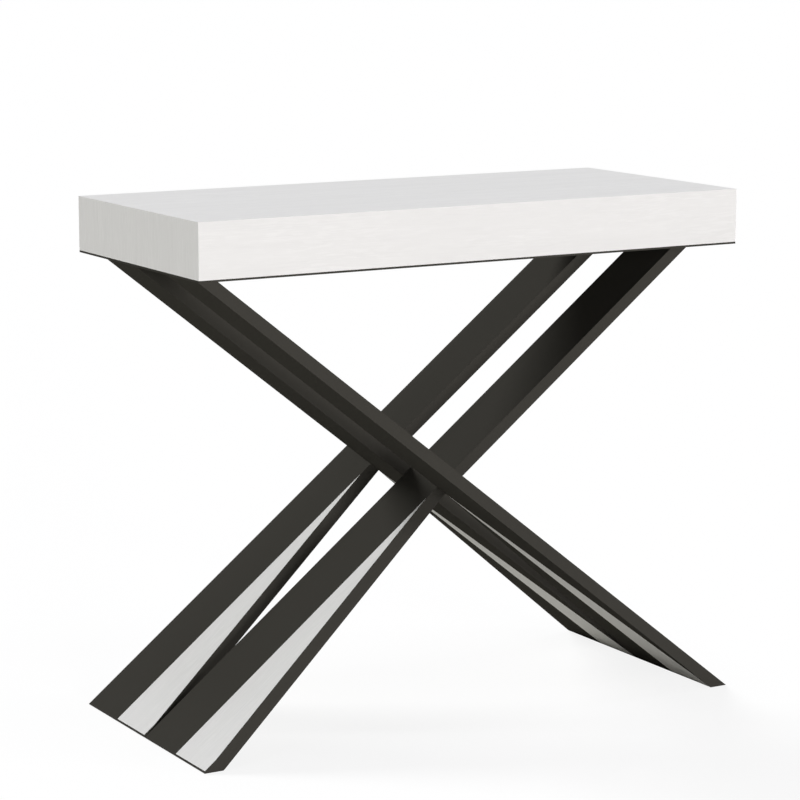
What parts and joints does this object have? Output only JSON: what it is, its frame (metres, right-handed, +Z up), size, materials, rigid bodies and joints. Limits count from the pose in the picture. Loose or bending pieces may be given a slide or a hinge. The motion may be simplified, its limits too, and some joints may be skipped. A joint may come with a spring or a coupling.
{
  "type": "extending console table",
  "caption": "Slim white console table on crossed dark legs; its two halves slide apart on telescopic aluminium rails to make a long dining table.",
  "frame": {"origin": "on the floor, below the centre of the closed table", "axes": "+X along the long side, +Y from the front half to the rear half, +Z up"},
  "size_m": [0.9, 0.4, 0.774],
  "materials": {
    "white_ash": "white ash grain, satin",
    "anthracite_leg": "satin",
    "anthracite_steel": "satin",
    "rail_aluminium": "satin",
    "bracket_steel": "satin",
    "zinc_steel": "satin",
    "black_nylon": "matte",
    "grey_nylon": "matte",
    "beech": "satin"
  },
  "bodies": {
    "rear_half": {"rear_top_panel": "white_ash", "rear_apron": "white_ash", "rear_left_end": "white_ash", "rear_right_end": "white_ash", "rear_base_plate": "anthracite_steel", "rear_outer_leg": "anthracite_leg", "rear_inner_leg": "anthracite_leg", "rear_outer_leg_inlays": "white_ash", "rear_inner_leg_inlays": "white_ash", "rear_floor_pads": "black_nylon", "rear_cross_pin": "zinc_steel", "rear_leg_bolts": "zinc_steel", "rear_rail_brackets": "bracket_steel", "seam_dowels": "beech", "rail_0_left": "rail_aluminium", "rail_0_right": "rail_aluminium", "rail_0_shoes": "grey_nylon"},
    "front_half": {"front_top_panel": "white_ash", "front_apron": "white_ash", "front_left_end": "white_ash", "front_right_end": "white_ash", "front_base_plate": "anthracite_steel", "front_outer_leg": "anthracite_leg", "front_inner_leg": "anthracite_leg", "front_outer_leg_inlays": "white_ash", "front_inner_leg_inlays": "white_ash", "front_floor_pads": "black_nylon", "front_cross_pin": "zinc_steel", "front_leg_bolts": "zinc_steel", "front_rail_brackets": "bracket_steel", "rail_6_left": "rail_aluminium", "rail_6_right": "rail_aluminium", "rail_6_caps": "black_nylon"},
    "stage_1": {"rail_1_left": "rail_aluminium", "rail_1_right": "rail_aluminium", "rail_1_shoes": "grey_nylon", "rail_1_caps": "black_nylon", "rail_1_tie": "rail_aluminium"},
    "stage_2": {"rail_2_left": "rail_aluminium", "rail_2_right": "rail_aluminium", "rail_2_shoes": "grey_nylon", "rail_2_caps": "black_nylon", "rail_2_tie": "rail_aluminium"},
    "stage_3": {"rail_3_left": "rail_aluminium", "rail_3_right": "rail_aluminium", "rail_3_shoes": "grey_nylon", "rail_3_caps": "black_nylon", "rail_3_tie": "rail_aluminium"},
    "stage_4": {"rail_4_left": "rail_aluminium", "rail_4_right": "rail_aluminium", "rail_4_shoes": "grey_nylon", "rail_4_caps": "black_nylon", "rail_4_tie": "rail_aluminium"},
    "stage_5": {"rail_5_left": "rail_aluminium", "rail_5_right": "rail_aluminium", "rail_5_shoes": "grey_nylon", "rail_5_caps": "black_nylon", "rail_5_tie": "rail_aluminium"}
  },
  "joints": [
    {"name": "extension", "type": "slide", "parent": "rear_half", "child": "front_half", "axis": [0, -1, 0], "range_m": [0, 1.56]},
    {"name": "stage_1_slide", "type": "slide", "parent": "rear_half", "child": "stage_1", "axis": [0, -1, 0], "range_m": [0, 0.2601]},
    {"name": "stage_2_slide", "type": "slide", "parent": "rear_half", "child": "stage_2", "axis": [0, -1, 0], "range_m": [0, 0.5201]},
    {"name": "stage_3_slide", "type": "slide", "parent": "rear_half", "child": "stage_3", "axis": [0, -1, 0], "range_m": [0, 0.7801]},
    {"name": "stage_4_slide", "type": "slide", "parent": "rear_half", "child": "stage_4", "axis": [0, -1, 0], "range_m": [0, 1.0401]},
    {"name": "stage_5_slide", "type": "slide", "parent": "rear_half", "child": "stage_5", "axis": [0, -1, 0], "range_m": [0, 1.3001]}
  ],
  "couplings": [
    {"joint": "stage_1_slide", "follows": "extension", "ratio": 0.16667},
    {"joint": "stage_2_slide", "follows": "extension", "ratio": 0.33333},
    {"joint": "stage_3_slide", "follows": "extension", "ratio": 0.5},
    {"joint": "stage_4_slide", "follows": "extension", "ratio": 0.66667},
    {"joint": "stage_5_slide", "follows": "extension", "ratio": 0.83333}
  ]
}
